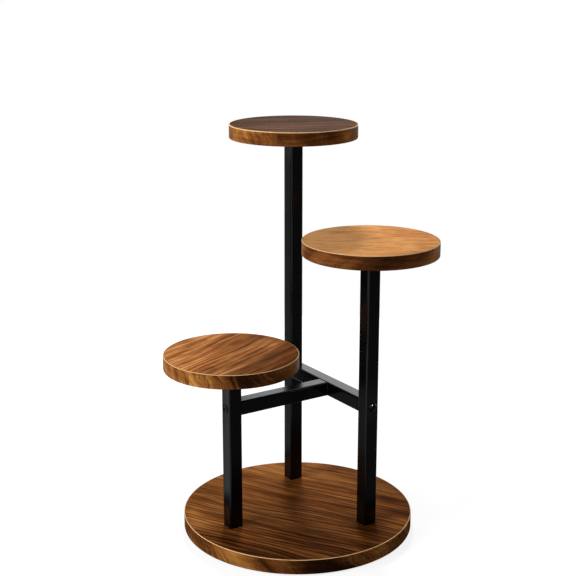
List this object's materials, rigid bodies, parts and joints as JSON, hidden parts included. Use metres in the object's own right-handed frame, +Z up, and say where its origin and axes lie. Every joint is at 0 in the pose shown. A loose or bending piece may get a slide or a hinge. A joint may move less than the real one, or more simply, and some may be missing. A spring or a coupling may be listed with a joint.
{
  "type": "tiered plant stand",
  "caption": "Free-standing stand with a round base and round trays at rising heights on square steel posts tied by a T-shaped brace.",
  "frame": {"origin": "on the floor under the middle of the base board, on the underside of the middle foot pad", "axes": "+Z up; the brace's arm runs along X to the lowest post at -X, and its bar along Y between the middle post at -Y and the highest post at +Y"},
  "size_m": [0.4445, 0.4536, 0.691],
  "materials": {
    "base_wood": "dark walnut-look laminate, satin",
    "low_wood": "mid-brown walnut-look laminate, satin",
    "mid_wood": "orange-brown walnut-look laminate, satin",
    "high_wood": "very dark walnut-look laminate, satin",
    "edge_band": "wood-grain edge strip with a pale rounded rim, satin",
    "black_steel": "satin black powder coat",
    "black_bolt": "black plated steel, slightly glossy",
    "plain_steel": "zinc-plated steel",
    "felt": "dark felt"
  },
  "bodies": {
    "root": {"base_board": "base_wood", "base_edge_band": "edge_band", "foot_pad_middle": "felt", "foot_pad_1": "felt", "foot_pad_2": "felt", "foot_pad_3": "felt", "foot_pad_4": "felt", "foot_pad_5": "felt", "foot_pad_6": "felt", "low_tray_board": "low_wood", "low_tray_edge_band": "edge_band", "low_tray_plate": "black_steel", "low_tray_screw_1": "plain_steel", "low_tray_screw_2": "plain_steel", "low_tray_screw_3": "plain_steel", "low_tray_screw_4": "plain_steel", "low_post": "black_steel", "low_post_foot_plate": "plain_steel", "low_base_bolt": "plain_steel", "low_base_washer": "plain_steel", "low_brace_bolt": "black_bolt", "low_brace_end_plate": "black_steel", "low_brace_nut": "plain_steel", "mid_tray_board": "mid_wood", "mid_tray_edge_band": "edge_band", "mid_tray_plate": "black_steel", "mid_tray_screw_1": "plain_steel", "mid_tray_screw_2": "plain_steel", "mid_tray_screw_3": "plain_steel", "mid_tray_screw_4": "plain_steel", "mid_post": "black_steel", "mid_post_foot_plate": "plain_steel", "mid_base_bolt": "plain_steel", "mid_base_washer": "plain_steel", "mid_brace_bolt": "black_bolt", "mid_brace_end_plate": "black_steel", "mid_brace_nut": "plain_steel", "high_tray_board": "high_wood", "high_tray_edge_band": "edge_band", "high_tray_plate": "black_steel", "high_tray_screw_1": "plain_steel", "high_tray_screw_2": "plain_steel", "high_tray_screw_3": "plain_steel", "high_tray_screw_4": "plain_steel", "high_post": "black_steel", "high_post_foot_plate": "plain_steel", "high_base_bolt": "plain_steel", "high_base_washer": "plain_steel", "high_brace_bolt": "black_bolt", "high_brace_end_plate": "black_steel", "high_brace_nut": "plain_steel", "brace_bar": "black_steel", "brace_arm": "black_steel"}
  },
  "joints": []
}
